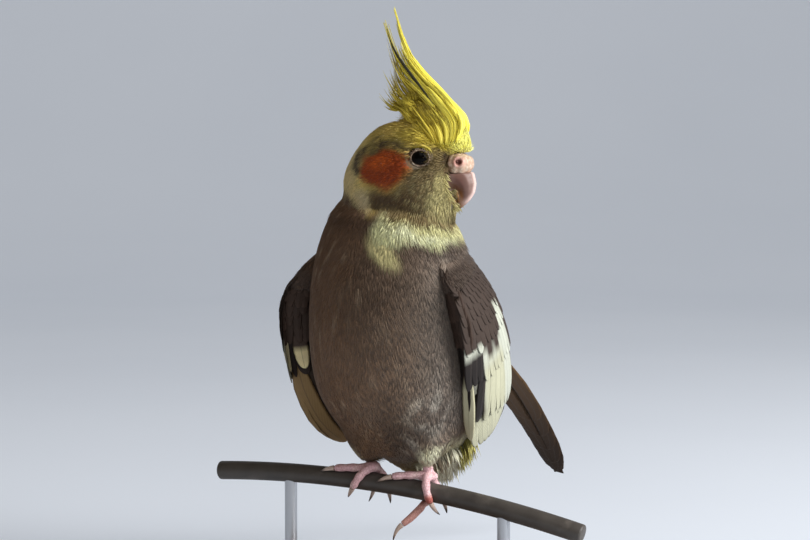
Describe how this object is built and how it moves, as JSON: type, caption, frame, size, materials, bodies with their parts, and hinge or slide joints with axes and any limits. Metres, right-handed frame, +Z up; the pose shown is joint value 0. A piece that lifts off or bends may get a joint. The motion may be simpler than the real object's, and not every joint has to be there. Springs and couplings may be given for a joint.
{
  "type": "cockatiel",
  "caption": "Life-size still model of a cockatiel with raised crest and drooped wings, gripping a cut length of arched bar on a round display stand.",
  "frame": {"origin": "centre of the stand base's underside", "axes": "+Z up out of the base; the bird's breast faces -Y, its left side is +X, its tail trails to +Y and its head is turned to +X"},
  "size_m": [0.1511, 0.2141, 0.2235],
  "materials": {
    "grey_plumage": "soft matt feathers",
    "yellow_plumage": "soft matt feathers",
    "wing_plumage": "smooth matt feathers",
    "tail_plumage": "smooth matt feathers",
    "thigh_plumage": "soft matt feathers",
    "bill_horn": "dull horn",
    "cere_skin": "bare skin",
    "foot_skin": "scaly bare skin",
    "claw_horn": "smooth horn",
    "eye_gloss": "wet gloss",
    "bar_paint": "worn satin paint",
    "stand_wood": "satin varnish",
    "stand_steel": "brushed"
  },
  "bodies": {
    "root": {"torso": "grey_plumage", "neck": "yellow_plumage", "head": "yellow_plumage", "crest": "yellow_plumage", "eye_left": "eye_gloss", "eye_right": "eye_gloss", "cere": "cere_skin", "bill_upper": "bill_horn", "bill_lower": "bill_horn", "wing_left": "wing_plumage", "wing_right": "wing_plumage", "tail": "tail_plumage", "thigh_left": "thigh_plumage", "thigh_right": "thigh_plumage", "foot_left": "foot_skin", "foot_right": "foot_skin", "claw_left_1": "claw_horn", "claw_left_2": "claw_horn", "claw_left_3": "claw_horn", "claw_left_4": "claw_horn", "claw_right_1": "claw_horn", "claw_right_2": "claw_horn", "claw_right_3": "claw_horn", "claw_right_4": "claw_horn", "perch": "bar_paint", "stand_base": "stand_wood", "stand_rod_left": "stand_steel", "stand_rod_right": "stand_steel"}
  },
  "joints": []
}
